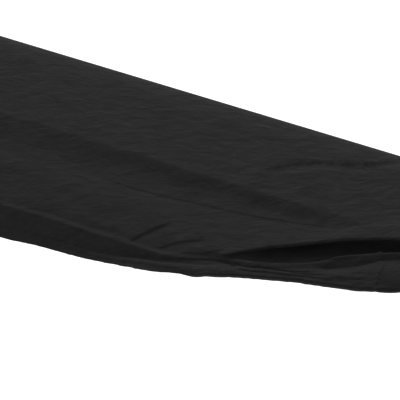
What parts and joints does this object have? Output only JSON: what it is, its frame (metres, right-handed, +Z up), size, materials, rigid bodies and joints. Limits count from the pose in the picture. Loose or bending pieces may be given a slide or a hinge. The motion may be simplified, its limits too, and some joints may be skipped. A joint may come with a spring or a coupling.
{
  "type": "fitted piano cover",
  "caption": "Hollow stretch-cloth dust cover for a long keyboard instrument, its front hem lifted in a soft overhanging fold.",
  "frame": {"origin": "under the cloth of the top, half way along and 72 mm ahead of the back edge, where the cover rests on what it hides", "axes": "+X along the length, to the right as seen from the front; +Y towards the back; +Z up"},
  "size_m": [1.32, 0.2838, 0.0801],
  "materials": {
    "cloth": "matte black stretch knit"
  },
  "bodies": {
    "root": {"cover": "cloth"}
  },
  "joints": []
}
